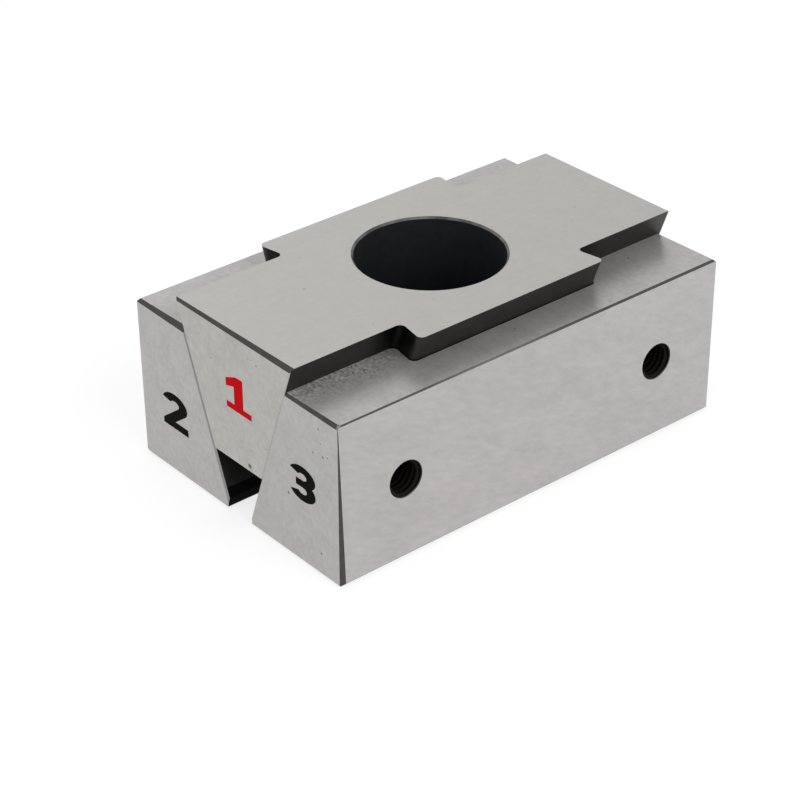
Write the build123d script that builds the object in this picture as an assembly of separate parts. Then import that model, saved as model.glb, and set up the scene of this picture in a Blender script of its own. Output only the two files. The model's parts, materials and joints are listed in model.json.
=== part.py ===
from build123d import *

import math
import os

# Double-wedge fixture clamp block: a wedge with a screw bore, held between two
# jaws by dovetail tenons. X runs across the jaws, Y along the block, Z up, and
# the jaws stand on Z = 0. All sizes are in millimetres, in the closed state.

# Block
block_length = 64.0
closed_width = 41.2
jaw_height = 23.3
wedge_height = 18.95
wedge_rise = 3.85

# Inclined faces that the wedge and the jaws slide on, and the jaws' toes under them
wedge_angle = 20.0
toe_gap = 5.0
toe_land = 1.5

# Stepped bore for a cap screw with a 12 mm thread
head_bore_diameter = 20.0
head_bore_depth = 12.5
shank_bore_diameter = 13.0
bore_chamfer = 0.28

# Dovetail tenons on the wedge, and the grooves for them in the jaws
tenon_length = 29.5
tenon_flare = 10.5
tenon_wall = 1.7
tenon_corner = 0.8
groove_clearance = 0.12

# Tapped holes in the jaws' outer faces, cut to the outside of a 5 mm thread
tapped_diameter = 5.0
tapped_depth = 10.0
tapped_chamfer = 0.12
tapped_point_angle = 118.0
tapped_offset = 6.0

# Top edges, eased by hand: each pair is the size at the two ends of the edge, which is
# from left to right on the wedge, outwards on a jaw's ends and from near to far on its side
wedge_end_edge = (0.34, 0.56)
jaw_near_edge = (0.33, 0.47)
jaw_far_edge = (0.65, 0.43)
jaw_side_edge = (0.18, 0.29)

# Ends of the sliding faces: those at the near right and far left are broken less than the others
fine_slide_break = 0.12
broad_slide_break = 0.24

# Other edges
foot_chamfer = 0.5
foot_end_chamfer = 0.3
wedge_foot_chamfer = 0.1
toe_chamfer = 0.4

# The jaw's outer upright edge at its near end is ground at a slant, which would run out above the jaw
eased_corner_front = 0.35
eased_corner_side = 0.75
eased_corner_height = 25.5

# Places worked out from the sizes above
slope = math.tan(math.radians(wedge_angle))
flare_slope = math.tan(math.radians(tenon_flare))
half_length = block_length / 2
half_width = closed_width / 2
wedge_top = jaw_height + wedge_rise
wedge_bottom = wedge_top - wedge_height
head_bore_floor = wedge_top - head_bore_depth


def slide_face_x(z):
    """Distance of the inclined sliding faces from the middle plane at height z."""
    return toe_gap / 2 + (z - toe_land) * slope


tenon_depth = head_bore_diameter / 2 + tenon_wall - slide_face_x(head_bore_floor)
groove_end_y = tenon_length / 2 + (tenon_depth + groove_clearance) * flare_slope
tapped_y = groove_end_y + tapped_offset


def slide_profile(clearance):
    """Plan outline of the wedge's side of the +X sliding joint, at the jaws' feet.

    The outline is a broad band that ends at the sliding face, with the dovetail
    tenon standing out of it. A clearance widens and deepens the tenon alone, which
    turns the same outline into the cutter for the jaw's groove.
    """
    face_x = slide_face_x(0)
    back_x = face_x - 2 * closed_width
    depth = tenon_depth + clearance
    root_y = tenon_length / 2 + clearance / math.cos(math.radians(tenon_flare))
    tip_y = root_y + depth * flare_slope
    outline = Polyline(
        (back_x, -block_length),
        (face_x, -block_length),
        (face_x, -root_y),
        (face_x + depth, -tip_y),
        (face_x + depth, tip_y),
        (face_x, root_y),
        (face_x, block_length),
        (back_x, block_length),
        close=True,
    )
    sharp = make_face(outline)
    tenon_corners = [v for v in sharp.vertices() if abs(v.Y) <= tip_y]
    return fillet(tenon_corners, tenon_corner)


def slide_prism(clearance):
    """The sliding outline carried along the inclined face, past the foot and the top."""
    overrun = wedge_height
    travel = (wedge_top + 2 * overrun) / math.cos(math.radians(wedge_angle))
    start = Pos(-overrun * slope, 0, -overrun) * slide_profile(clearance)
    return extrude(start, amount=travel, dir=(slope, 0, 1))


def end_trim(bottom, top, size):
    """A bar across the block with the side view's outline, chamfered at its lower corners."""
    outline = Polyline(
        (0, -half_length + size, bottom),
        (0, half_length - size, bottom),
        (0, half_length, bottom + size),
        (0, half_length, top),
        (0, -half_length, top),
        (0, -half_length, bottom + size),
        close=True,
    )
    return extrude(make_face(outline), amount=2 * closed_width, both=True)


def turned(shape):
    """The same shape turned half round about the screw's axis."""
    return Rot(0, 0, 180) * shape


def slide_edges(shape, side):
    """Edges from a sliding face to an end: near right and far left (-1), or near left and far right (1)."""

    def is_slide_edge(edge):
        ends = edge.vertices()
        at_end = all(abs(abs(v.Y) - half_length) < 1e-3 for v in ends)
        on_face = all(abs(abs(v.X) - slide_face_x(v.Z)) < 1e-3 for v in ends)
        return at_end and on_face

    return [edge for edge in shape.edges() if is_slide_edge(edge) and side * edge.center().X * edge.center().Y > 0]


def break_slide_edges(shape):
    """Ease the inclined edges where a sliding face meets an end face."""
    for side, size in ((-1, fine_slide_break), (1, broad_slide_break)):
        shape = chamfer(slide_edges(shape, side), size)
    return shape


def screw_bore():
    """Cutter for the stepped bore, from above the wedge to below it."""
    head_r = head_bore_diameter / 2
    shank_r = shank_bore_diameter / 2
    section = Polyline(
        (0, 0, wedge_top + bore_chamfer),
        (head_r + 2 * bore_chamfer, 0, wedge_top + bore_chamfer),
        (head_r, 0, wedge_top - bore_chamfer),
        (head_r, 0, head_bore_floor),
        (shank_r, 0, head_bore_floor),
        (shank_r, 0, wedge_bottom + bore_chamfer),
        (shank_r + 2 * bore_chamfer, 0, wedge_bottom - bore_chamfer),
        (0, 0, wedge_bottom - bore_chamfer),
        close=True,
    )
    return revolve(make_face(section), Axis.Z)


def tapped_hole():
    """Cutter for one blind hole, with its mouth on X = 0 and its depth along -X."""
    radius = tapped_diameter / 2
    tip = tapped_depth + radius / math.tan(math.radians(tapped_point_angle / 2))
    section = Polyline(
        (tapped_chamfer, 0),
        (tapped_chamfer, radius + 2 * tapped_chamfer),
        (-tapped_chamfer, radius),
        (-tapped_depth, radius),
        (-tip, 0),
        close=True,
    )
    return revolve(make_face(section), Axis.X)


def cut_back(shape, first, second, third):
    """Cut off what lies beyond the plane through three points, on the side away from the middle."""
    origin, across, along = Vector(*first), Vector(*second), Vector(*third)
    outward = (across - origin).cross(along - origin)
    if outward.dot(origin - shape.bounding_box().center()) < 0:
        outward = -outward
    cut = Plane(origin=origin, x_dir=across - origin, z_dir=outward)
    return split(shape, bisect_by=cut, keep=Keep.BOTTOM)


def ease_end_edge(shape, end, top, places, sizes):
    """Chamfer the top edge at the near (-1) or far (1) end, by a size that changes along X."""
    return cut_back(
        shape,
        (places[0], end * half_length, top - sizes[0]),
        (places[0], end * (half_length - sizes[0]), top),
        (places[1], end * half_length, top - sizes[1]),
    )


def ease_side_edge(jaw):
    """Chamfer the jaw's outer top edge, by a size that changes from its near end to its far end."""
    near, far = jaw_side_edge
    return cut_back(
        jaw,
        (half_width, -half_length, jaw_height - near),
        (half_width - near, -half_length, jaw_height),
        (half_width, half_length, jaw_height - far),
    )


def ease_corner(jaw):
    """Grind the jaw's near outer upright edge off at a slant, widest at the foot."""
    return cut_back(
        jaw,
        (half_width - eased_corner_front, -half_length, 0),
        (half_width, -half_length + eased_corner_side, 0),
        (half_width, -half_length, eased_corner_height),
    )


def make_wedge():
    """The middle piece: a tapered bar with a dovetail tenon on each side and the bore."""
    side = slide_prism(0)
    wedge = end_trim(wedge_bottom, wedge_top, wedge_foot_chamfer) & side & turned(side)
    wedge = break_slide_edges(wedge - screw_bore())
    corners = (-slide_face_x(wedge_top), slide_face_x(wedge_top))
    wedge = ease_end_edge(wedge, -1, wedge_top, corners, wedge_end_edge)
    return ease_end_edge(wedge, 1, wedge_top, corners[::-1], wedge_end_edge)


def make_jaw():
    """The +X jaw: a bar with a toe, an inclined inner face, a groove and two tapped holes."""
    section = Polyline(
        (toe_gap / 2 + toe_chamfer, 0, 0),
        (half_width - foot_chamfer, 0, 0),
        (half_width, 0, foot_chamfer),
        (half_width, 0, jaw_height),
        (toe_gap / 2, 0, jaw_height),
        (toe_gap / 2, 0, toe_chamfer),
        close=True,
    )
    bar = extrude(make_face(section), amount=block_length, both=True)
    bar = bar & end_trim(0, jaw_height, foot_end_chamfer)
    jaw = break_slide_edges(bar - slide_prism(groove_clearance))
    for y in (-tapped_y, tapped_y):
        jaw -= Pos(half_width, y, jaw_height / 2) * tapped_hole()
    corners = (slide_face_x(jaw_height), half_width)
    jaw = ease_end_edge(jaw, -1, jaw_height, corners, jaw_near_edge)
    jaw = ease_end_edge(jaw, 1, jaw_height, corners, jaw_far_edge)
    return ease_corner(ease_side_edge(jaw))


os.makedirs("parts", exist_ok=True)
wedge = make_wedge()
right_jaw = make_jaw()
left_jaw = turned(right_jaw)
for name, piece in (("wedge", wedge), ("left_jaw", left_jaw), ("right_jaw", right_jaw)):
    export_step(piece, f"parts/{name}.step")
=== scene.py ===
"""Looks of the fixture clamp block: ground and oxidised steel, threads, piece numbers and a plain studio.

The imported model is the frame. Its three nodes keep their shapes and get a finish, and the threads in the
tapped holes and the numbers on the front faces are added as pieces that ride on the same bodies.
"""

from __future__ import annotations

import functools
import json
import logging
import math
from dataclasses import dataclass, replace
from enum import Enum
from typing import Any

import bmesh
import bpy
from mathutils import Matrix, Vector

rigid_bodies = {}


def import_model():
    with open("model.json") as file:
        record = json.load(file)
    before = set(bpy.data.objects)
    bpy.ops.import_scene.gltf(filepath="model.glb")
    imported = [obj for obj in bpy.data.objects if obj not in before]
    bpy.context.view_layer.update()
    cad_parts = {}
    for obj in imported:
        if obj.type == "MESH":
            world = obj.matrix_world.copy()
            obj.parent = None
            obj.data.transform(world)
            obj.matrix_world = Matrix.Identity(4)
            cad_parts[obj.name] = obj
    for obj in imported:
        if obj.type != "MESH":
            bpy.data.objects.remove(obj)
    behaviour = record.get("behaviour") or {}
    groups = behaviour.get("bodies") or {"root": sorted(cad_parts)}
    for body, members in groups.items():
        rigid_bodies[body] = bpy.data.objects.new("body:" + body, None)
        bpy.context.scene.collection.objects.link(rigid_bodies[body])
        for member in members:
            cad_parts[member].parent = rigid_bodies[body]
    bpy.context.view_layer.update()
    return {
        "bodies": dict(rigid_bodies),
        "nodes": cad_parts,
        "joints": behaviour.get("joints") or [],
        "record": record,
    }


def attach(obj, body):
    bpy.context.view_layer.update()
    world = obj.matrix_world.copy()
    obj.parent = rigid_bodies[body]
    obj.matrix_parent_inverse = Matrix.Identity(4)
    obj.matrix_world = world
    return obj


LOG = logging.getLogger("clamp_block")
MM = 0.001

Tree = bpy.types.NodeTree
Node = bpy.types.Node
Socket = bpy.types.NodeSocket
Outputs = dict[str, Socket]
Material = bpy.types.Material
Mesh = bpy.types.Mesh
Piece = bpy.types.Object
Triple = tuple[float, float, float]
Colour = Triple
Point = tuple[float, float]
Span = tuple[float, float]

VECTOR = "NodeSocketVector"
FLOAT = "NodeSocketFloat"
SOCKET_TYPES = {float: FLOAT, int: "NodeSocketInt"}
WHITE = (1.0, 1.0, 1.0)
FRONT_Y = -32.0


class NodeGraph:
    """Short calls for adding nodes to one tree and joining them."""

    def __init__(self, tree: Tree) -> None:
        """Keep the tree that the nodes go into."""
        self.tree = tree

    def fill(self, node: Node, inputs: dict[str | int, Any]) -> Node:
        """Give a node's inputs their values.

        Args:
            node: The node.
            inputs: What each input gets, by name or index: a socket is linked, anything else is set.

        Returns:
            The same node.
        """
        for key, value in inputs.items():
            target = node.inputs[key]
            if isinstance(value, Socket):
                self.tree.links.new(value, target)
            elif target.type == "RGBA" and len(value) == 3:
                target.default_value = (*value, 1.0)
            else:
                target.default_value = value
        return node

    def node(self, kind: str, inputs: dict[str | int, Any] | None = None, **options: Any) -> Node:
        """Add a node.

        Args:
            kind: Blender's name of the node type.
            inputs: What its inputs get, as in fill.
            options: The node's own settings, which are made first.

        Returns:
            The new node.
        """
        made = self.tree.nodes.new(kind)
        for name, value in options.items():
            setattr(made, name, value)
        return self.fill(made, inputs or {})

    def group(self, tree: Tree, inputs: dict[str, Any]) -> Outputs:
        """Place a shader node group, with what its named inputs get, and return its outputs."""
        return dict(self.node("ShaderNodeGroup", inputs, node_tree=tree).outputs.items())

    def math(self, operation: str, first: Any, second: Any = 0.0, clamp: bool = False) -> Socket:
        """Add a Math node, and keep its result between 0 and 1 if clamp is set."""
        inputs = {0: first, 1: second}
        return self.node("ShaderNodeMath", inputs, operation=operation, use_clamp=clamp).outputs[0]

    def times(self, *values: Any) -> Socket:
        """Multiply numbers."""
        return functools.reduce(functools.partial(self.math, "MULTIPLY"), values)

    def most(self, *values: Any) -> Socket:
        """Find the largest of several numbers."""
        return functools.reduce(functools.partial(self.math, "MAXIMUM"), values)

    def plus(self, first: Any, second: Any) -> Socket:
        """Add two numbers."""
        return self.math("ADD", first, second)

    def minus(self, first: Any, second: Any) -> Socket:
        """Take the second number from the first."""
        return self.math("SUBTRACT", first, second)

    def vector(self, operation: str, first: Any, second: Any = (0.0, 0.0, 0.0)) -> Socket:
        """Add a Vector Math node that gives a vector."""
        return self.node("ShaderNodeVectorMath", {0: first, 1: second}, operation=operation).outputs[0]

    def distance(self, first: Any, second: Any = (0.0, 0.0, 0.0)) -> Socket:
        """Measure how far one place is from another, or from the origin."""
        return self.vector("DISTANCE", first, second).node.outputs["Value"]

    def scaled(self, vector: Socket, unit: Socket) -> Socket:
        """Measure a vector in a unit of its own, so that the waves read there have that size."""
        inputs = {0: vector, "Scale": self.math("DIVIDE", 1.0, unit)}
        return self.node("ShaderNodeVectorMath", inputs, operation="SCALE").outputs[0]

    def parts(self, vector: Socket) -> tuple[Socket, ...]:
        """Split a vector into its three components."""
        return tuple(self.node("ShaderNodeSeparateXYZ", {0: vector}).outputs)

    def joined(self, x: Any, y: Any, z: Any) -> Socket:
        """Make a vector from three components."""
        return self.node("ShaderNodeCombineXYZ", {0: x, 1: y, 2: z}).outputs[0]

    def step(self, value: Socket, span: Span, start: float = 0.0, end: float = 1.0) -> Socket:
        """Turn a value into a soft step across a span, with start below it and end above it."""
        inputs = {0: value, 1: span[0], 2: span[1], 3: start, 4: end}
        return self.node("ShaderNodeMapRange", inputs, interpolation_type="SMOOTHSTEP").outputs[0]

    def fall(self, value: Socket, span: Span) -> Socket:
        """Turn a value into a soft step from 1 down to 0 across a span."""
        return self.step(value, span, 1.0, 0.0)

    def mixed(self, factor: Socket, first: Any, second: Any) -> Socket:
        """Mix two numbers, with factor as the second one's share."""
        return self.node("ShaderNodeMix", {0: factor, 2: first, 3: second}, data_type="FLOAT").outputs[0]

    def blend(self, factor: Socket, first: Any, second: Any) -> Socket:
        """Mix two colours, with factor as the second one's share."""
        return self.node("ShaderNodeMix", {0: factor, 6: first, 7: second}, data_type="RGBA").outputs[2]

    def shaded(self, colour: Any, shade: Socket) -> Socket:
        """Multiply a colour by a number."""
        inputs = {0: 1.0, 6: colour, 7: self.joined(shade, shade, shade)}
        return self.node("ShaderNodeMix", inputs, data_type="RGBA", blend_type="MULTIPLY").outputs[2]

    def noise(self, vector: Socket, scale: Any, detail: float = 2.0, roughness: float = 0.5) -> Socket:
        """Read a noise from 0 to 1, with so many waves per unit of the vector."""
        inputs = {"Vector": vector, "Scale": scale, "Detail": detail, "Roughness": roughness}
        return self.node("ShaderNodeTexNoise", inputs).outputs[0]


class GroupDraft(NodeGraph):
    """A node group under construction, with its named inputs and outputs."""

    def __init__(
        self, name: str, inputs: dict[str, Any], outputs: dict[str, str], kind: str = "ShaderNodeTree"
    ) -> None:
        """Start a group.

        Args:
            name: The group's name.
            inputs: Socket type or default value of each input, by name.
            outputs: Socket type of each output, by name.
            kind: Type of the tree.
        """
        super().__init__(bpy.data.node_groups.new(name, kind))
        face = self.tree.interface
        for label, given in inputs.items():
            made = face.new_socket(label, in_out="INPUT", socket_type=SOCKET_TYPES.get(type(given), given))
            if type(given) in SOCKET_TYPES:
                made.default_value = given
        for label, socket_type in outputs.items():
            face.new_socket(label, in_out="OUTPUT", socket_type=socket_type)
        self.entry = self.tree.nodes.new("NodeGroupInput")
        self.exit = self.tree.nodes.new("NodeGroupOutput")

    def __getitem__(self, name: str) -> Socket:
        """Return one of the group's inputs."""
        return self.entry.outputs[name]

    def ragged(self, value: Socket, vector: Socket) -> Socket:
        """Move a value in and out along a vector, by the group's inputs Waves and Ragged."""
        wave = self.minus(self.noise(vector, self["Waves"]), 0.5)
        return self.plus(value, self.times(wave, self["Ragged"]))

    def give(self, name: str, value: Socket) -> None:
        """Link a value to one of the group's outputs."""
        self.tree.links.new(value, self.exit.inputs[name])


class SurfaceEffects:
    """The effects that the block's finishes share, each built once as a shader node group.

    Places and sizes are in millimetres. Across a facing span of the normal, a mask comes or goes.
    """

    square_gain: float = 400.0
    broad_lines: float = 0.17
    end_facing: Span = (0.6, 0.8)
    level_facing: Span = (0.2, 0.5)
    break_facing_low: Span = (0.13, 0.17)
    break_facing_high: Span = (0.31, 0.34)
    break_facing_across: Span = (0.45, 0.55)

    def __init__(self) -> None:
        """Build the groups."""
        self.hole = self.build_hole()
        self.flats = self.build_flats()
        self.lay = self.build_lay()
        self.mottle = self.build_mottle()
        self.pits = self.build_pits()
        self.spot = self.build_spot()

    def build_hole(self) -> Tree:
        """Build the mask of a round hole.

        Returns:
            The group: 1 nearer to the Z axis than the radius, and 0 outside.
        """
        inputs = {"Vector": VECTOR, "Radius": 10.0, "Softness": 0.02}
        draft = GroupDraft("Round hole", inputs, {"Inside": FLOAT})
        x, y, _ = draft.parts(draft["Vector"])
        past = draft.minus(draft["Radius"], draft.distance(draft.joined(x, y, 0.0)))
        draft.give("Inside", draft.math("DIVIDE", past, draft["Softness"], clamp=True))
        return draft.tree

    def build_flats(self) -> Tree:
        """Build the masks that tell the block's faces apart by the way they point.

        Returns:
            The group: Square is 1 on the outer faces that lie square to the block, End on those across Y,
            Upright on upright faces, and Break on the eased edges between a sliding face and an end.
        """
        inputs = {
            "Vector": VECTOR, "Normal": VECTOR, "Least Cosine": 0.993,
            "End Reach": 31.5, "Side Reach": 20.3,
        }
        outputs = {"Square": FLOAT, "End": FLOAT, "Upright": FLOAT, "Break": FLOAT}
        draft = GroupDraft("Square faces", inputs, outputs)
        x, y, z = draft.parts(draft.vector("ABSOLUTE", draft["Normal"]))
        far_x, far_y, _ = draft.parts(draft.vector("ABSOLUTE", draft["Vector"]))
        at_end = draft.math("GREATER_THAN", far_y, draft["End Reach"])
        at_side = draft.math("GREATER_THAN", far_x, draft["Side Reach"])
        squarest = draft.most(draft.times(x, at_side), draft.times(y, at_end), z)
        over = draft.minus(squarest, draft["Least Cosine"])
        draft.give("Square", draft.math("MULTIPLY", over, self.square_gain, clamp=True))
        draft.give("End", draft.times(at_end, draft.step(y, self.end_facing)))
        draft.give("Upright", draft.fall(z, self.level_facing))
        tilted = draft.times(draft.step(z, self.break_facing_low), draft.fall(z, self.break_facing_high))
        across = [draft.step(part, self.break_facing_across) for part in (y, x)]
        draft.give("Break", draft.times(at_end, tilted, *across))
        return draft.tree

    def build_lay(self) -> Tree:
        """Build the fine parallel lines that a grinding wheel leaves.

        Returns:
            The group: lines along Y, and along X on the end faces, as a tone and as a height.
        """
        inputs = {"Vector": VECTOR, "End": 0.0, "Line Width": 0.12, "Line Length": 12.0}
        draft = GroupDraft("Grinding lay", inputs, {"Tone": FLOAT, "Height": FLOAT})
        across = draft.math("DIVIDE", 1.0, draft["Line Width"])
        along = draft.math("DIVIDE", 1.0, draft["Line Length"])
        drawn = (draft.joined(across, along, across), draft.joined(along, across, across))
        ways = [draft.vector("MULTIPLY", draft["Vector"], way) for way in drawn]
        fine = draft.mixed(draft["End"], *(draft.noise(way, 1.0, detail=3.0, roughness=0.65) for way in ways))
        broad = draft.mixed(draft["End"], *(draft.noise(way, self.broad_lines) for way in ways))
        draft.give("Tone", draft.times(draft.plus(fine, broad), 0.5))
        draft.give("Height", fine)
        return draft.tree

    def build_mottle(self) -> Tree:
        """Build the soft cloudy patches that oil and handling leave.

        Returns:
            The group: a tone from 0 to 1, in patches that may be stretched along Y and lean down along it.
        """
        inputs = {"Vector": VECTOR, "Patch Size": 4.0, "Stretch": 1.0, "Lean": 0.0}
        draft = GroupDraft("Oil mottle", inputs, {"Tone": FLOAT})
        x, y, z = draft.parts(draft["Vector"])
        fallen = draft.plus(z, draft.times(y, draft["Lean"]))
        drawn = draft.joined(x, draft.math("DIVIDE", y, draft["Stretch"]), fallen)
        patches = draft.scaled(drawn, draft["Patch Size"])
        draft.give("Tone", draft.noise(patches, 1.0, detail=4.0, roughness=0.6))
        return draft.tree

    def build_pits(self) -> Tree:
        """Build sparse small pits and specks of several sizes and strengths.

        Returns:
            The group: a mask that is up to 1 in a pit.
        """
        inputs = {
            "Vector": VECTOR, "Spacing": 1.4, "Size": 0.1, "Share": 0.2, "Ragged": 0.12,
            "Waves": 7.0, "Gain": 2.5, "Least Strength": 0.4, "Least Size": 0.35, "Most Size": 1.25,
        }
        draft = GroupDraft("Pits and specks", inputs, {"Pit": FLOAT})
        scaled = draft.scaled(draft["Vector"], draft["Spacing"])
        cells = draft.node("ShaderNodeTexVoronoi", {"Vector": scaled, "Scale": 1.0})
        red, green, blue = draft.parts(cells.outputs["Color"])
        chosen = draft.math("LESS_THAN", red, draft["Share"])
        strength = draft.mixed(blue, draft["Least Strength"], 1.0)
        size = draft.mixed(green, draft["Least Size"], draft["Most Size"])
        radius = draft.times(draft["Size"], size)
        reach = draft.ragged(cells.outputs["Distance"], scaled)
        inside = draft.math("DIVIDE", draft.minus(radius, reach), draft["Size"], clamp=True)
        filled = draft.math("MULTIPLY", inside, draft["Gain"], clamp=True)
        draft.give("Pit", draft.times(chosen, strength, filled))
        return draft.tree

    def build_spot(self) -> Tree:
        """Build one ragged spot, such as a nick or the painted highlight on a worn corner.

        Returns:
            The group: a mask that is 1 near the centre and falls off at the radius.
        """
        inputs = {
            "Vector": VECTOR, "Centre": VECTOR, "Radius": 0.4, "Ragged": 1.1, "Waves": 1.6, "Gain": 1.5,
        }
        draft = GroupDraft("Ragged spot", inputs, {"Spot": FLOAT})
        radius = draft["Radius"]
        away = draft.math("DIVIDE", draft.distance(draft["Vector"], draft["Centre"]), radius)
        reach = draft.ragged(away, draft.scaled(draft["Vector"], radius))
        inside = draft.math("MULTIPLY", draft.minus(1.0, reach), draft["Gain"], clamp=True)
        draft.give("Spot", inside)
        return draft.tree


def blank_material(name: str) -> tuple[Material, NodeGraph, Node]:
    """Make a material with nothing but its surface shader.

    Args:
        name: The material's name.

    Returns:
        The material, its node graph and its Principled shader.
    """
    material = bpy.data.materials.new(name)
    material.use_nodes = True
    material.node_tree.nodes.clear()
    graph = NodeGraph(material.node_tree)
    shader = graph.node("ShaderNodeBsdfPrincipled")
    graph.node("ShaderNodeOutputMaterial", {"Surface": shader.outputs[0]})
    return material, graph, shader


def linked(name: str, data: Any) -> Piece:
    """Make an object and put it into the scene.

    Args:
        name: The object's name.
        data: What it shows, such as a mesh or a lamp.

    Returns:
        The object.
    """
    made = bpy.data.objects.new(name, data)
    bpy.context.scene.collection.objects.link(made)
    return made


@dataclass(frozen=True)
class Nick:
    """A dark nick in a front face, in millimetres."""

    x: float
    z: float
    radius: float


@dataclass(frozen=True)
class Surface:
    """What a mask is worked out from: a place on the piece, in millimetres, and the normal there."""

    graph: NodeGraph
    effects: SurfaceEffects
    place: Socket
    normal: Socket

    @classmethod
    def read(cls, graph: NodeGraph, effects: SurfaceEffects) -> Surface:
        """Read a material's surface on Object coordinates."""
        where = graph.node("ShaderNodeTexCoord").outputs
        return cls(graph, effects, graph.vector("DIVIDE", where["Object"], (MM, MM, MM)), where["Normal"])

    def cloud(self, patch_size: float, **drawn: Any) -> Socket:
        """Read the oil mottle, in patches of a size, with its other inputs as drawn."""
        inputs = {"Vector": self.place, "Patch Size": patch_size, **drawn}
        return self.graph.group(self.effects.mottle, inputs)["Tone"]

    def hole(self, radius: float) -> Socket:
        """Mask what lies nearer to the Z axis than a radius."""
        return self.graph.group(self.effects.hole, {"Vector": self.place, "Radius": radius})["Inside"]

    def spot(self, centre: Any, radius: float) -> Socket:
        """Mask a ragged spot about a centre."""
        inputs = {"Vector": self.place, "Centre": centre, "Radius": radius}
        return self.graph.group(self.effects.spot, inputs)["Spot"]

    def above(self, height: float) -> Socket:
        """Mask what lies higher than a height."""
        return self.graph.math("GREATER_THAN", self.graph.parts(self.place)[2], height)

    def nowhere(self) -> Socket:
        """Return a mask that is 0 all over."""
        return self.graph.node("ShaderNodeValue").outputs[0]


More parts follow.
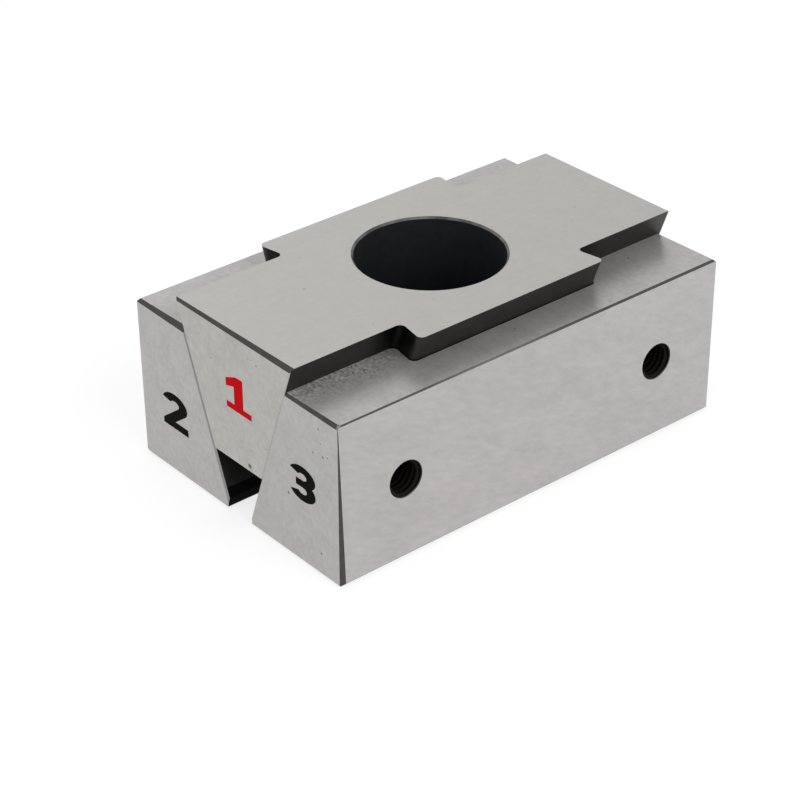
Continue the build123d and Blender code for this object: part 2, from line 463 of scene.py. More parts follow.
@dataclass(frozen=True)
class GroundSteel:
    """Hardened steel, black from its heat treatment, with its square faces ground bright.

    A shade is a factor for the colour, and a patch is the size of a mottle, in millimetres.
    """

    name: str
    ground_colour: Colour
    oxide_colour: Colour = (0.074, 0.071, 0.069)
    # Painted shade: near-black colour for the recesses, holes and undersides, darker than the oxide.
    recess_shade_colour: Colour = (0.008, 0.007, 0.007)
    pit_colour: Colour = (0.06, 0.052, 0.048)
    ground_metal: float = 0.51
    ground_roughness: Span = (0.26, 0.34)
    oxide_roughness: float = 0.46
    recess_roughness: float = 0.75
    oxide_patch: float = 1.6
    oxide_shade: Span = (0.7, 1.3)
    # Painted shade: oxide faces that hang over are darkened by this factor.
    overhang_facing: Span = (-0.33, -0.28)
    overhang_painted_shade: float = 0.74
    # Oil and painted shade: the concave tenon-root corners are darkened by this factor.
    oil_and_corner_shade_factor: float = 0.30
    # Painted shade: the edge breaks on the left joint are only half ground, so that joint reads darker than
    # the right one.
    left_break_painted_shade: float = 0.5
    lay_shade: Span = (0.95, 1.05)
    mottle_patches: Span = (3.2, 0.8)
    mottle_contrast: float = 0.10
    upright_mottle: float = 0.30
    side_mottle: float = 0.26
    # Painted light: the sides are made this much lighter than the other ground faces.
    side_painted_light: float = 1.035
    side_stretch: float = 2.4
    side_lean: float = 0.38
    grit_patch: float = 0.45
    grit_contrast: float = 2.6
    grit_roughness: float = 0.26
    speck_size: float = 0.14
    speck_share: Span = (0.12, 0.75)
    speck_strength: float = 0.75
    crowd_patch: float = 1.3
    crowd_span: Span = (0.44, 0.62)
    crowd_spacing: float = 0.48
    crowd_size: float = 0.45
    pit_depth: float = 3.0
    bump_strength: float = 0.15
    bump_reach: float = 0.01
    shift: Triple = (0.0, 0.0, 0.0)

    def build(self, effects: SurfaceEffects, piece: GroundPiece) -> Material:
        """Build the material.

        Args:
            effects: The shared node groups.
            piece: The piece, with its masks.

        Returns:
            The material.
        """
        material, graph, shader = blank_material(self.name)
        at = Surface.read(graph, effects)
        shifted = graph.node("ShaderNodeMapping", {"Vector": at.place, "Location": self.shift}).outputs[0]
        moved = replace(at, place=shifted)
        flats = graph.group(effects.flats, {"Vector": at.place, "Normal": at.normal})
        painted_recess_shade, patch = piece.painted_recess_shade(at), piece.pitted(at)
        ground = self.ground(at, piece, flats, painted_recess_shade)
        lay = graph.group(effects.lay, {"Vector": moved.place, "End": flats["End"]})
        pit = graph.most(self.pits(moved, flats["End"], patch), piece.nicked(at))
        grit = graph.times(graph.minus(moved.cloud(self.grit_patch), 0.5), self.grit_contrast, patch)
        tone = graph.plus(self.tone(moved, lay["Tone"], flats), grit)
        bright = graph.shaded(self.ground_colour, tone)
        steel = graph.blend(ground, self.black(moved, painted_recess_shade, piece.oil_and_corner_shade(at)), bright)
        grain = graph.mixed(lay["Tone"], *self.ground_roughness)
        grain = graph.plus(grain, graph.times(patch, self.grit_roughness))
        black_grain = graph.mixed(painted_recess_shade, self.oxide_roughness, self.recess_roughness)
        height = graph.minus(lay["Height"], graph.times(pit, self.pit_depth))
        bump = {"Height": height, "Strength": self.bump_strength, "Distance": self.bump_reach * MM}
        graph.fill(shader, {
            "Base Color": graph.blend(graph.times(pit, ground), steel, self.pit_colour),
            "Metallic": graph.mixed(ground, 1.0, self.ground_metal),
            "Roughness": graph.mixed(ground, black_grain, grain),
            "Normal": graph.node("ShaderNodeBump", bump).outputs[0],
        })
        return material

    def ground(self, at: Surface, piece: GroundPiece, flats: Outputs, painted_recess_shade: Socket) -> Socket:
        """Mask what is ground or worn bright, with the corner's painted highlight among it.

        Args:
            at: The piece's surface.
            piece: The piece, with its masks.
            flats: The masks of the square faces.
            painted_recess_shade: Mask of the recesses and undersides, which get a painted shade.

        Returns:
            The mask.
        """
        graph = at.graph
        plain = graph.times(flats["Square"], graph.minus(1.0, painted_recess_shade))
        right = graph.math("GREATER_THAN", graph.parts(at.place)[0], 0.0)
        # Painted shade on the left joint's breaks.
        wiped = graph.times(flats["Break"], graph.mixed(right, self.left_break_painted_shade, 1.0))
        return graph.most(plain, wiped, piece.wear_and_glint(at))

    def black(self, moved: Surface, painted_recess_shade: Socket, oil_and_corner_shade: Socket) -> Socket:
        """Colour the oxidised faces, which are a little uneven, with a painted shade where they hang over and
        in the tenon-root corners.

        Args:
            moved: The surface, with the place where the patches are read.
            painted_recess_shade: Mask of the recesses and undersides, painted near black as shade.
            oil_and_corner_shade: Mask of the tenon-root corners, darkened for oil and as painted shade.

        Returns:
            The colour.
        """
        graph = moved.graph
        uneven = graph.mixed(moved.cloud(self.oxide_patch), *self.oxide_shade)
        # Painted shade on the faces that point downward.
        overhang_shade = graph.step(graph.parts(moved.normal)[2], self.overhang_facing, self.overhang_painted_shade, 1.0)
        shade = graph.times(uneven, overhang_shade, graph.mixed(oil_and_corner_shade, 1.0, self.oil_and_corner_shade_factor))
        return graph.shaded(graph.blend(painted_recess_shade, self.oxide_colour, self.recess_shade_colour), shade)

    def tone(self, moved: Surface, lines: Socket, flats: Outputs) -> Socket:
        """Put the grinding lines and the cloudy patches together.

        Args:
            moved: The surface, with the place where the patches are read.
            lines: Tone of the grinding lines.
            flats: The masks of the square faces. The upright ones are cloudier, and the sides streaky and
                painted a little lighter.

        Returns:
            A factor around 1 for the ground colour.
        """
        graph = moved.graph
        upright, end = flats["Upright"], flats["End"]
        side = graph.times(upright, graph.minus(1.0, end))
        stretch, lean = graph.mixed(side, 1.0, self.side_stretch), graph.times(side, self.side_lean)
        both = graph.plus(*(moved.cloud(size, Stretch=stretch, Lean=lean) for size in self.mottle_patches))
        swing = graph.mixed(upright, self.mottle_contrast, self.upright_mottle)
        swing = graph.mixed(side, swing, self.side_mottle)
        clouds = graph.times(graph.minus(both, 1.0), swing)
        # Painted light on the sides.
        level = graph.mixed(side, 1.0, self.side_painted_light)
        return graph.times(graph.mixed(lines, *self.lay_shade), graph.plus(clouds, level))

    def pits(self, moved: Surface, end: Socket, patch: Socket) -> Socket:
        """Put the sparse specks and the pitted patch together.

        Args:
            moved: The surface, with the place where the pits are read.
            end: Mask of the end faces, which have more specks.
            patch: Mask of the pitted patch.

        Returns:
            The mask of the pits.
        """
        graph, pits = moved.graph, moved.effects.pits
        share = graph.mixed(end, *self.speck_share)
        specks = graph.group(pits, {"Vector": moved.place, "Size": self.speck_size, "Share": share})
        crowd = graph.group(pits, {
            "Vector": moved.place, "Spacing": self.crowd_spacing, "Size": self.crowd_size,
            "Share": graph.step(moved.cloud(self.crowd_patch), self.crowd_span),
        })
        return graph.most(graph.times(specks["Pit"], self.speck_strength), graph.times(crowd["Pit"], patch))


@dataclass
class GroundPiece:
    """A piece, in millimetres, whose square faces are ground and whose other faces are black.

    Its masks say where it differs from that rule.
    """

    nodes: tuple[str, ...]
    finish: GroundSteel
    nicks: tuple[Nick, ...]

    def dress(self, frame: dict[str, Any], effects: SurfaceEffects) -> None:
        """Give the piece's nodes their finish.

        Args:
            frame: The loaded frame.
            effects: The shared node groups.
        """
        material = self.finish.build(effects, self)
        for name in self.nodes:
            frame["nodes"][name].material_slots[0].material = material

    def painted_recess_shade(self, at: Surface) -> Socket:
        """Mask the recesses and undersides, which are painted near black as shade and never ground."""
        raise NotImplementedError

    def wear_and_glint(self, at: Surface) -> Socket:
        """Mask the edges that are worn bright, and any painted highlight made the same way."""
        raise NotImplementedError

    def pitted(self, at: Surface) -> Socket:
        """Mask the patch that the wheel left pitted."""
        return at.nowhere()

    def oil_and_corner_shade(self, at: Surface) -> Socket:
        """Mask the corners that are darkened, for oil and as painted shade."""
        return at.nowhere()

    def nicked(self, at: Surface) -> Socket:
        """Mask the piece's nicks."""
        return at.graph.most(*(at.spot((nick.x, FRONT_Y, nick.z), nick.radius) for nick in self.nicks))


@dataclass(frozen=True)
class ThreadFinish:
    """Cut thread, black with a brown tinge of cutting oil, with a painted shade that makes it darkest away
    from its mouth.
    """

    name: str = "tapped_thread"
    colour: Colour = (0.036, 0.030, 0.029)
    # Darker colour, used for oil stains in the mottle and as painted shade deep in the hole.
    oil_and_depth_shade_colour: Colour = (0.020, 0.015, 0.0145)
    roughness: Span = (0.95, 0.75)
    patch: float = 0.9
    # Span over which the painted shade deep in the hole gives way at the mouth.
    mouth_span: Span = (18.5, 20.3)

    def build(self, effects: SurfaceEffects) -> Material:
        """Build the material.

        Args:
            effects: The shared node groups.

        Returns:
            The material.
        """
        material, graph, shader = blank_material(self.name)
        at = Surface.read(graph, effects)
        cloud = at.cloud(self.patch)
        # Painted shade: deeper in the hole the thread takes the darker colour.
        mouth = graph.step(graph.math("ABSOLUTE", graph.parts(at.place)[0]), self.mouth_span)
        near = graph.blend(cloud, self.colour, self.oil_and_depth_shade_colour)
        graph.fill(shader, {
            "Base Color": graph.blend(mouth, self.oil_and_depth_shade_colour, near),
            "Roughness": graph.mixed(cloud, *self.roughness),
            "Metallic": 1.0,
        })
        return material


class Ink(Enum):
    """Ink colours of the piece numbers."""

    BLACK = (0.004, 0.004, 0.004)
    RED = (0.72, 0.008, 0.012)


@dataclass(frozen=True)
class InkFinish:
    """Thin marking ink that lets the grain under it show faintly."""

    ink: Ink
    shade: Span = (0.8, 1.2)
    roughness: Span = (0.47, 0.63)
    patch: float = 0.6
    sheen_index: float = 1.08

    def build(self, effects: SurfaceEffects) -> Material:
        """Build the material.

        Args:
            effects: The shared node groups.

        Returns:
            The material.
        """
        material, graph, shader = blank_material(f"marking_ink_{self.ink.name.lower()}")
        cloud = Surface.read(graph, effects).cloud(self.patch)
        graph.fill(shader, {
            "Base Color": graph.shaded(self.ink.value, graph.mixed(cloud, *self.shade)),
            "Roughness": graph.mixed(cloud, *self.roughness),
            "IOR": self.sheen_index,
        })
        return material


@dataclass
class TappedThreads:
    """The thread ridges in the two tapped holes of one jaw, in millimetres."""

    body: str
    outward: int
    mouth_x: float
    offset_y: float
    height_z: float
    root_diameter: float = 5.04
    crest_diameter: float = 4.30
    pitch: float = 0.8
    length: float = 9.2
    lead: float = 0.14
    root_width: float = 0.72
    crest_width: float = 0.14
    points_per_turn: int = 56
    run_outs_per_turn: float = 3.0

    @staticmethod
    def build_tree() -> Tree:
        """Build the Geometry Nodes tree of the ridges.

        Returns:
            The tree: one ridge wound as a helix that runs out at both ends, set into both holes. Its
            sizes are in metres.
        """
        inputs = {
            "Root Diameter": 0.005, "Crest Diameter": 0.004, "Pitch": 0.0008, "Length": 0.009,
            "Root Width": 0.0007, "Crest Width": 0.0001, "Points Per Turn": 48, "Run Outs Per Turn": 3.0,
            "Mouth": VECTOR, "Hole Spacing": 0.04, "Turn": 0.0, "Finish": "NodeSocketMaterial",
        }
        draft = GroupDraft("Tapped threads", inputs, {"Geometry": "NodeSocketGeometry"}, "GeometryNodeTree")
        quarter, thinnest = math.pi / 2, 0.05

        def moved(piece: Node, **motion: Any) -> Node:
            """Turn or move a piece."""
            return draft.node("GeometryNodeTransform", {"Geometry": piece.outputs[0], **motion})

        root, crest = draft["Root Diameter"], draft["Crest Diameter"]
        radius = draft.times(root, 0.5)
        turns = draft.math("DIVIDE", draft["Length"], draft["Pitch"])
        spiral = draft.node("GeometryNodeCurveSpiral", {
            "Resolution": draft["Points Per Turn"], "Rotations": turns, "Start Radius": radius,
            "End Radius": radius, "Height": draft["Length"],
        })
        upright = draft.node("GeometryNodeSetCurveNormal", {"Curve": spiral.outputs[0]}, mode="Z_UP")
        along = draft.node("GeometryNodeSplineParameter").outputs["Factor"]
        to_end = draft.times(draft.math("MINIMUM", along, draft.minus(1.0, along)), turns)
        run_out = draft.math("MULTIPLY", to_end, draft["Run Outs Per Turn"], clamp=True)
        depth = draft.times(draft.minus(root, crest), 0.5)
        ridge = draft.node("GeometryNodeCurvePrimitiveQuadrilateral", {
            "Bottom Width": draft["Root Width"], "Top Width": draft["Crest Width"],
            "Offset": 0.0, "Height": depth,
        }, mode="TRAPEZOID")
        seated = moved(ridge, Translation=draft.joined(0.0, draft.times(depth, 0.5), 0.0))
        turned = moved(seated, Rotation=(0.0, 0.0, -quarter))
        wound = draft.node("GeometryNodeCurveToMesh", {
            "Curve": upright.outputs[0], "Profile Curve": turned.outputs[0], "Fill Caps": True,
            "Scale": draft.most(run_out, thinnest),
        })
        laid = moved(wound, Rotation=(0.0, -quarter, 0.0))
        reach = draft.joined(0.0, draft["Hole Spacing"], 0.0)
        half_reach = draft.vector("MULTIPLY", reach, (0.5, 0.5, 0.5))
        start = draft.vector("SUBTRACT", draft["Mouth"], half_reach)
        spots = draft.node("GeometryNodeMeshLine", {"Count": 2, "Start Location": start, "Offset": reach})
        placed = draft.node("GeometryNodeInstanceOnPoints", {
            "Points": spots.outputs[0], "Instance": laid.outputs[0],
            "Rotation": draft.joined(0.0, 0.0, draft["Turn"]),
        })
        solid = draft.node("GeometryNodeRealizeInstances", {"Geometry": placed.outputs[0]})
        dressed = draft.node("GeometryNodeSetMaterial", {
            "Geometry": solid.outputs[0], "Material": draft["Finish"],
        })
        draft.give("Geometry", dressed.outputs[0])
        return draft.tree

    def build(self, tree: Tree, finish: Material) -> Piece:
        """Make the ridges as a plain mesh that rides on the jaw.

        Args:
            tree: The Geometry Nodes tree from build_tree.
            finish: The threads' material.

        Returns:
            The piece.
        """
        sizes = {
            "Root Diameter": self.root_diameter, "Crest Diameter": self.crest_diameter,
            "Pitch": self.pitch, "Length": self.length, "Root Width": self.root_width,
            "Crest Width": self.crest_width, "Hole Spacing": 2.0 * self.offset_y,
            "Mouth": Vector((self.outward * (self.mouth_x - self.lead), 0.0, self.height_z)),
        }
        mesh = run_tree(f"{self.body}_threads", tree, {
            **{name: size * MM for name, size in sizes.items()},
            "Points Per Turn": self.points_per_turn,
            "Run Outs Per Turn": self.run_outs_per_turn,
            "Turn": 0.0 if self.outward > 0 else math.pi,
            "Finish": finish,
        })
        return placed_piece(mesh, finish, self.body)


def run_tree(name: str, tree: Tree, values: dict[str, Any]) -> Mesh:
    """Run a Geometry Nodes tree once and keep its result.

    Args:
        name: The mesh's name.
        tree: The tree.
        values: What its named inputs get.

    Returns:
        The result as a plain mesh.
    """
    carrier = linked(f"{name}_carrier", bpy.data.meshes.new(f"{name}_carrier"))
    modifier = carrier.modifiers.new("Nodes", "NODES")
    modifier.node_group = tree
    for item in tree.interface.items_tree:
        if item.item_type == "SOCKET" and item.in_out == "INPUT":
            modifier[item.identifier] = values[item.name]
    bpy.context.view_layer.update()
    evaluated = carrier.evaluated_get(bpy.context.evaluated_depsgraph_get())
    mesh = bpy.data.meshes.new_from_object(evaluated)
    mesh.name = name
    carrier.modifiers.remove(modifier)
    bpy.data.objects.remove(carrier)
    return mesh


def placed_piece(mesh: Mesh, finish: Material, body: str) -> Piece:
    """Turn a mesh into a closed piece with one finish that rides on a body.

    Args:
        mesh: The mesh, which gives the piece its name.
        finish: Its material.
        body: The body that it moves with.

    Returns:
        The piece.
    """
    close_mesh(mesh)
    mesh.materials.clear()
    mesh.materials.append(finish)
    for face in mesh.polygons:
        face.material_index = 0
    piece = linked(mesh.name, mesh)
    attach(piece, body)
    return piece


def close_mesh(mesh: Mesh, reach: float = 1e-7) -> None:
    """Merge a mesh's doubled points, turn its faces outwards and split the many-sided ones.

    Args:
        mesh: The mesh.
        reach: Points nearer than this are one, in metres.
    """
    work = bmesh.new()
    work.from_mesh(mesh)
    bmesh.ops.remove_doubles(work, verts=work.verts, dist=reach)
    bmesh.ops.recalc_face_normals(work, faces=work.faces)
    many_sided = [face for face in work.faces if len(face.verts) > 4]
    bmesh.ops.triangulate(work, faces=many_sided, ngon_method="EAR_CLIP")
    work.to_mesh(mesh)
    work.free()


@dataclass(frozen=True)
class DigitShape:
    """Outlines of bold digits, each in a box of height 1 about the origin."""

    stroke: float = 0.20
    base: float = 0.20
    steps: int = 28

    @property
    def outer(self) -> float:
        """Outer radius of the bowls."""
        return 0.25 + self.stroke / 4

    @property
    def inner(self) -> float:
        """Inner radius of the bowls."""
        return self.outer - self.stroke

    def arc(self, middle: float, radius: float, start: float, end: float) -> list[Point]:
        """Work out the points of an arc whose centre is on the upright axis, from angle to angle."""
        angles = (math.radians(start + (end - start) * n / self.steps) for n in range(self.steps + 1))
        return [(radius * math.cos(a), middle + radius * math.sin(a)) for a in angles]

    def one(self) -> list[Point]:
        """Draw a 1 with a flag and a foot.

        Returns:
            The outline.
        """
        half, wide, foot = self.stroke * 0.54, 0.30, self.base * 0.85 - 0.5
        return [
            (-wide, -0.5), (wide, -0.5), (wide, foot), (half, foot), (half, 0.5), (-half * 0.5, 0.5),
            (-wide, 0.33), (-wide, 0.10), (-half, 0.19), (-half, foot), (-wide, foot),
        ]

    def two(self) -> list[Point]:
        """Draw a 2 with a bowl, a slanted neck and a flat base.

        Returns:
            The outline.
        """
        middle, turn, tip = 0.5 - self.outer, 38.0, 165.0
        fall, run = math.cos(math.radians(turn)), math.sin(math.radians(turn))
        shelf = self.base - 0.5
        outside = self.arc(middle, self.outer, tip, -turn)
        inside = self.arc(middle, self.inner, -turn, tip)
        drop = (outside[-1][1] - shelf) / fall
        reach = (inside[0][0] + self.outer) / run
        neck = (outside[-1][0] - drop * run, shelf)
        heel = (-self.outer, inside[0][1] - reach * fall)
        return [*outside, neck, (self.outer, shelf), (self.outer, -0.5), (-self.outer, -0.5), heel, *inside]

    def three(self) -> list[Point]:
        """Draw a 3 with two bowls that meet in a short bar.

        Returns:
            The outline.
        """
        middle, tip = 0.5 - self.outer, 158.0
        notch = math.degrees(math.asin(middle / self.outer))
        bar, bar_end = middle - self.inner, -0.15
        upper = self.arc(middle, self.outer, tip, -notch)
        lower = self.arc(-middle, self.outer, notch, -tip)
        below = self.arc(-middle, self.inner, -tip, 90.0)
        above = self.arc(middle, self.inner, -90.0, tip)
        return [*upper, *lower[1:], *below, (bar_end, -bar), (bar_end, bar), *above]


@dataclass
class PieceNumber:
    """A number printed on a front face, in millimetres."""

    body: str
    slot: str
    ink: Ink
    outline: list[Point]
    centre: Point
    height: float
    stretch: float = 1.7
    film: float = 0.02
    sunk: float = 0.01

    def build(self, finish: Material) -> Piece:
        """Make the number as a thin closed mesh on the face.

        Args:
            finish: The ink's material.

        Returns:
            The piece.
        """
        middle_x, middle_z = self.centre
        corners = [
            Vector((middle_x + x * self.height * self.stretch, depth, middle_z + z * self.height)) * MM
            for depth in (FRONT_Y - self.film, FRONT_Y + self.sunk)
            for x, z in self.outline
        ]
        count = len(self.outline)
        near, far = [*range(count)], [*range(count, 2 * count)]
        sides = [(near[n - 1], near[n], far[n], far[n - 1]) for n in near]
        mesh = bpy.data.meshes.new(f"{self.body}_number")
        mesh.from_pydata(corners, [], [near, far[::-1], *sides])
        return placed_piece(mesh, finish, self.body)


@dataclass
class Wedge(GroundPiece):
    """The middle piece, with its screw bore and its tenons."""

    nodes: tuple[str, ...] = ("wedge",)
    finish: GroundSteel = GroundSteel(
        # The painted shade in the bore is a little lighter and bluer than in the other recesses.
        "wedge_ground_steel", (0.475, 0.468, 0.447), recess_shade_colour=(0.035, 0.039, 0.043),
        shift=(31.0, 17.0, 43.0),
    )
    nicks: tuple[Nick, ...] = (
        Nick(2.6, 9.05, 0.46), Nick(4.9, 24.6, 0.17), Nick(-4.6, 21.6, 0.13), Nick(6.4, 13.4, 0.14),
    )
    top: float = 27.15
    underside: float = 8.22
    bore_radius: float = 10.02
    rim: float = 0.28
    rim_share: Span = (0.03, 0.26)
    rim_patch: float = 4.5
    rim_span: Span = (0.35, 0.65)
    slide_angle: float = 20.0
    slide_foot: float = 1.954
    tenon_root: float = 14.75
    dark_corner_depth: Span = (2.8, 3.8)
    dark_corner_start: Span = (-0.4, 0.2)
    dark_corner_end: Span = (1.8, 5.4)

    def painted_recess_shade(self, at: Surface) -> Socket:
        """Mask the bore's walls and seat, and the wedge's underside, which get a painted shade."""
        return at.graph.most(at.hole(self.bore_radius), at.graph.minus(1.0, at.above(self.underside)))

    def wear_and_glint(self, at: Surface) -> Socket:
        """Mask the bore's rim, where the chamfer is worn more in some places than in others."""
        share = at.graph.step(at.cloud(self.rim_patch), self.rim_span, *self.rim_share)
        return at.graph.times(share, at.hole(self.bore_radius + self.rim), at.above(self.top - self.rim))

    def oil_and_corner_shade(self, at: Surface) -> Socket:
        """Mask the sliding faces beside the tenons, and the tenons' ends, where oil and a painted shade
        darken the corner.

        Args:
            at: The piece's surface.

        Returns:
            The mask.
        """
        graph = at.graph
        # Oil and painted shade: a patch near each tenon root, just inside the sliding face.
        x, y, z = graph.parts(graph.vector("ABSOLUTE", at.place))
        slope = math.tan(math.radians(self.slide_angle))
        face = graph.plus(graph.times(z, slope), self.slide_foot)
        inner = graph.fall(graph.minus(x, face), self.dark_corner_depth)
        past = graph.minus(y, self.tenon_root)
        return graph.times(inner, graph.step(past, self.dark_corner_start), graph.fall(past, self.dark_corner_end))


@dataclass
class Jaws(GroundPiece):
    """The two outer pieces, with their tapped holes, toes and pitted tops."""

    nodes: tuple[str, ...] = ("left_jaw", "right_jaw")
    finish: GroundSteel = GroundSteel("jaw_ground_steel", (0.478, 0.462, 0.452), mottle_contrast=0.30)
    nicks: tuple[Nick, ...] = (
        Nick(17.6, 17.7, 0.24), Nick(15.7, 17.5, 0.17), Nick(16.9, 21.3, 0.18), Nick(10.5, 9.1, 0.25),
        Nick(18.5, 18.0, 0.14), Nick(16.8, 3.3, 0.21), Nick(17.2, 19.4, 0.12),
    )
    top: float = 23.3
    top_skin: float = 0.05
    half_width: float = 20.6
    # Size of the painted highlight on the near top corner.
    corner_glint_radius: float = 0.6
    tapped_radius: float = 2.53
    tapped_offset: float = 21.59
    tapped_height: float = 11.65
    tapped_bottom: float = 9.0
    toe_reach: float = 3.0
    toe_facing: float = 0.9
    pitted_end: Span = (-22.0, -9.0)
    pitted_side: Span = (11.2, 16.0)
    least_pitted: float = 0.07
    wear: Span = (0.04, 0.20)
    wear_start: Span = (-20.0, -8.0)
    wear_end: Span = (-4.0, 6.0)
    edge_facing: Span = (0.5, 0.6)

    @staticmethod
    def as_right(at: Surface) -> Surface:
        """Read either jaw in the right one's place, which is half a turn away from the left one's."""
        side = at.graph.math("SIGN", at.graph.parts(at.place)[0])
        return replace(at, place=at.graph.vector("MULTIPLY", at.place, at.graph.joined(side, side, 1.0)))

    def painted_recess_shade(self, at: Surface) -> Socket:
        """Mask the tapped holes' walls and the toe's face, which get a painted shade.

        Args:
            at: The piece's surface.

        Returns:
            The mask.
        """
        graph = at.graph
        x, y, z = graph.parts(graph.vector("ABSOLUTE", at.place))
        off_axis = graph.joined(graph.minus(y, self.tapped_offset), graph.minus(z, self.tapped_height), 0.0)
        outer = graph.math("GREATER_THAN", x, self.tapped_bottom)
        holes = graph.times(replace(at, place=off_axis).hole(self.tapped_radius), outer)
        across = graph.math("ABSOLUTE", graph.parts(at.normal)[0])
        facing = graph.math("GREATER_THAN", across, self.toe_facing)
        return graph.most(holes, graph.times(graph.math("LESS_THAN", x, self.toe_reach), facing))

    def pitted(self, at: Surface) -> Socket:
        """Mask the jaw's top, which is pitted most at one end beside the sliding face.

        Args:
            at: The piece's surface.

        Returns:
            The mask.
        """
        graph = at.graph
        x, y, _ = graph.parts(self.as_right(at).place)
        worst = graph.times(graph.fall(y, self.pitted_end), graph.fall(x, self.pitted_side))
        return graph.times(at.above(self.top - self.top_skin), graph.mixed(worst, self.least_pitted, 1.0))

    def wear_and_glint(self, at: Surface) -> Socket:
        """Mask the long top edge, which is worn most about its middle, and the near top corner, which gets a
        painted highlight of worn bright steel.

        Args:
            at: The piece's surface.

        Returns:
            The mask.
        """
        graph, right = at.graph, self.as_right(at)
        y = graph.parts(right.place)[1]
        middle = graph.times(graph.step(y, self.wear_start), graph.fall(y, self.wear_end))
        out, _, up = graph.parts(graph.vector("ABSOLUTE", at.normal))
        slanted = graph.times(graph.step(out, self.edge_facing), graph.step(up, self.edge_facing))
        wear = graph.times(slanted, graph.mixed(middle, *self.wear))
        # Painted highlight: a worn bright steel spot where the near top corner catches light.
        corner = right.spot((self.half_width, FRONT_Y, self.top), self.corner_glint_radius)
        return graph.most(corner, wear)

    def thread(self, effects: SurfaceEffects) -> list[Piece]:
        """Cut the threads of both jaws.

        Args:
            effects: The shared node groups.

        Returns:
            The pieces.
        """
        tree, finish = TappedThreads.build_tree(), ThreadFinish().build(effects)
        hole = (self.half_width, self.tapped_offset, self.tapped_height)
        threads = (TappedThreads(name, outward, *hole) for name, outward in zip(self.nodes, (-1, 1)))
        return [pair.build(tree, finish) for pair in threads]


@dataclass
class Studio:
    """A pale floor, a white surround and a soft lamp, in metres.

    The surround's spans are of the sideways and upward parts of a direction, and its lights are the
    strengths below and above a span.
    """

    floor_side: float = 6.0
    floor_drop: float = 0.00002
    floor_colour: Colour = (0.30, 0.30, 0.30)
    floor_roughness: float = 0.9
    floor_glow: float = 0.765
    bright_turn: float = 50.25
    side_span: Span = (-0.16, 0.16)
    side_light: Span = (1.13, 0.78)
    rise_span: Span = (0.40, 0.62)
    rise_light: Span = (0.93, 1.02)
    ceiling_span: Span = (0.66, 0.84)
    ceiling_light: Span = (1.0, 0.45)
    backdrop_top: Span = (0.30, 0.40)
    lamp_place: Triple = (0.80, 0.05, 0.65)
    lamp_side: float = 0.7
    lamp_power: float = 4.1

    def build(self) -> None:
        """Make the floor, the surround and the lamp."""
        self.build_floor()
        self.build_surround()
        light = bpy.data.lights.new("key_lamp", "AREA")
        light.shape = "SQUARE"
        light.size = self.lamp_side
        light.energy = self.lamp_power
        lamp = linked("key_lamp", light)
        lamp.location = self.lamp_place
        lamp.rotation_euler = (-lamp.location).to_track_quat("-Z", "Y").to_euler()

    def build_floor(self) -> None:
        """Make the floor, which keeps the shadow, looks white around the block and is clear from below."""
        half = self.floor_side / 2
        mesh = bpy.data.meshes.new("floor")
        corners = [(-half, -half), (half, -half), (half, half), (-half, half)]
        mesh.from_pydata([(x, y, -self.floor_drop) for x, y in corners], [], [(0, 1, 2, 3)])
        floor = linked("floor", mesh)
        material, graph, shader = blank_material("pale_floor")
        below = graph.node("ShaderNodeNewGeometry").outputs["Backfacing"]
        graph.fill(shader, {
            "Base Color": self.floor_colour,
            "Roughness": self.floor_roughness,
            "Specular IOR Level": 0.0,
            "Emission Color": WHITE,
            "Emission Strength": graph.times(seen_directly(graph), self.floor_glow),
            "Alpha": graph.minus(1.0, below),
        })
        mesh.materials.append(material)

    def build_surround(self) -> None:
        """Make the surround: a white backdrop to the eye and in the steel, under a softer ceiling."""
        world = bpy.data.worlds.new("studio")
        bpy.context.scene.world = world
        world.use_nodes = True
        world.node_tree.nodes.clear()
        graph = NodeGraph(world.node_tree)
        across, deep, up = graph.parts(graph.node("ShaderNodeTexCoord").outputs["Generated"])
        turn = math.radians(self.bright_turn)
        sideways = graph.plus(graph.times(across, math.cos(turn)), graph.times(deep, math.sin(turn)))
        soft = graph.times(
            graph.step(sideways, self.side_span, *self.side_light),
            graph.step(up, self.rise_span, *self.rise_light),
            graph.step(up, self.ceiling_span, *self.ceiling_light),
        )
        backdrop = graph.times(seen_directly(graph), graph.fall(up, self.backdrop_top))
        to_eye = graph.node("ShaderNodeLightPath").outputs["Is Camera Ray"]
        strength = graph.mixed(graph.most(backdrop, to_eye), soft, 1.0)
        back = graph.node("ShaderNodeBackground", {"Color": WHITE, "Strength": strength})
        graph.node("ShaderNodeOutputWorld", {"Surface": back.outputs[0]})


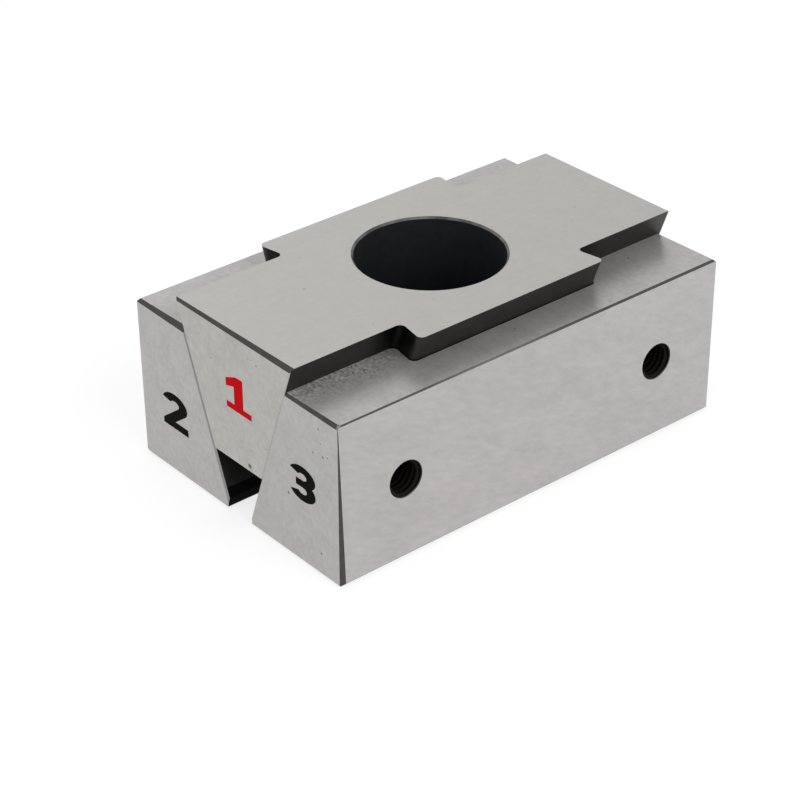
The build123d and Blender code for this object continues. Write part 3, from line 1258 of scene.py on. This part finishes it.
def seen_directly(graph: NodeGraph) -> Socket:
    """Tell the rays that show a surface, which get a 1, from those that light others."""
    rays = graph.node("ShaderNodeLightPath").outputs
    return graph.most(rays["Is Camera Ray"], rays["Is Glossy Ray"], rays["Is Transmission Ray"])


@dataclass
class ViewCamera:
    """The camera, in degrees and millimetres."""

    azimuth: float = 50.252
    elevation: float = 31.457
    roll: float = -0.533
    aim: Triple = (-0.151, -5.186, 6.770)
    distance: float = 311.97
    focal_pixels: float = 2353.15
    image_pixels: float = 800.0
    sensor: float = 36.0
    clip: Span = (10.0, 20000.0)

    def build(self) -> None:
        """Make the camera and choose it."""
        data = bpy.data.cameras.new("camera")
        data.sensor_width = self.sensor
        data.lens = self.focal_pixels / self.image_pixels * self.sensor
        data.clip_start, data.clip_end = (distance * MM for distance in self.clip)
        camera = linked("camera", data)
        turns = ((self.azimuth, "Z"), (90.0 - self.elevation, "X"), (self.roll, "Z"))
        turn, lift, roll = (Matrix.Rotation(math.radians(angle), 4, axis) for angle, axis in turns)
        moves = (self.aim, (0.0, 0.0, self.distance))
        aim, away = (Matrix.Translation(Vector(move) * MM) for move in moves)
        camera.matrix_world = aim @ turn @ lift @ roll @ away
        bpy.context.scene.camera = camera


def main() -> None:
    """Load the frame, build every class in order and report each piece."""
    logging.basicConfig(level=logging.INFO, format="%(name)s: %(message)s")
    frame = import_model()
    bpy.context.scene.view_settings.view_transform = "Standard"
    ViewCamera().build()
    Studio().build()
    effects = SurfaceEffects()
    Wedge().dress(frame, effects)
    jaws = Jaws()
    jaws.dress(frame, effects)
    pieces = [*frame["nodes"].values(), *jaws.thread(effects)]
    inks = {ink: InkFinish(ink).build(effects) for ink in Ink}
    digits = DigitShape()
    numbers = (
        PieceNumber("wedge", "wedge_steel", Ink.RED, digits.one(), (0.9, 18.5), 5.0),
        PieceNumber("left_jaw", "jaw_steel", Ink.BLACK, digits.two(), (-13.4, 9.5), 5.3),
        PieceNumber("right_jaw", "jaw_steel", Ink.BLACK, digits.three(), (13.4, 11.8), 5.0),
    )
    pieces += [number.build(inks[number.ink]) for number in numbers]
    for piece in pieces:
        LOG.info("%s: %d faces", piece.name, len(piece.data.polygons))


if __name__ == "__main__":
    main()
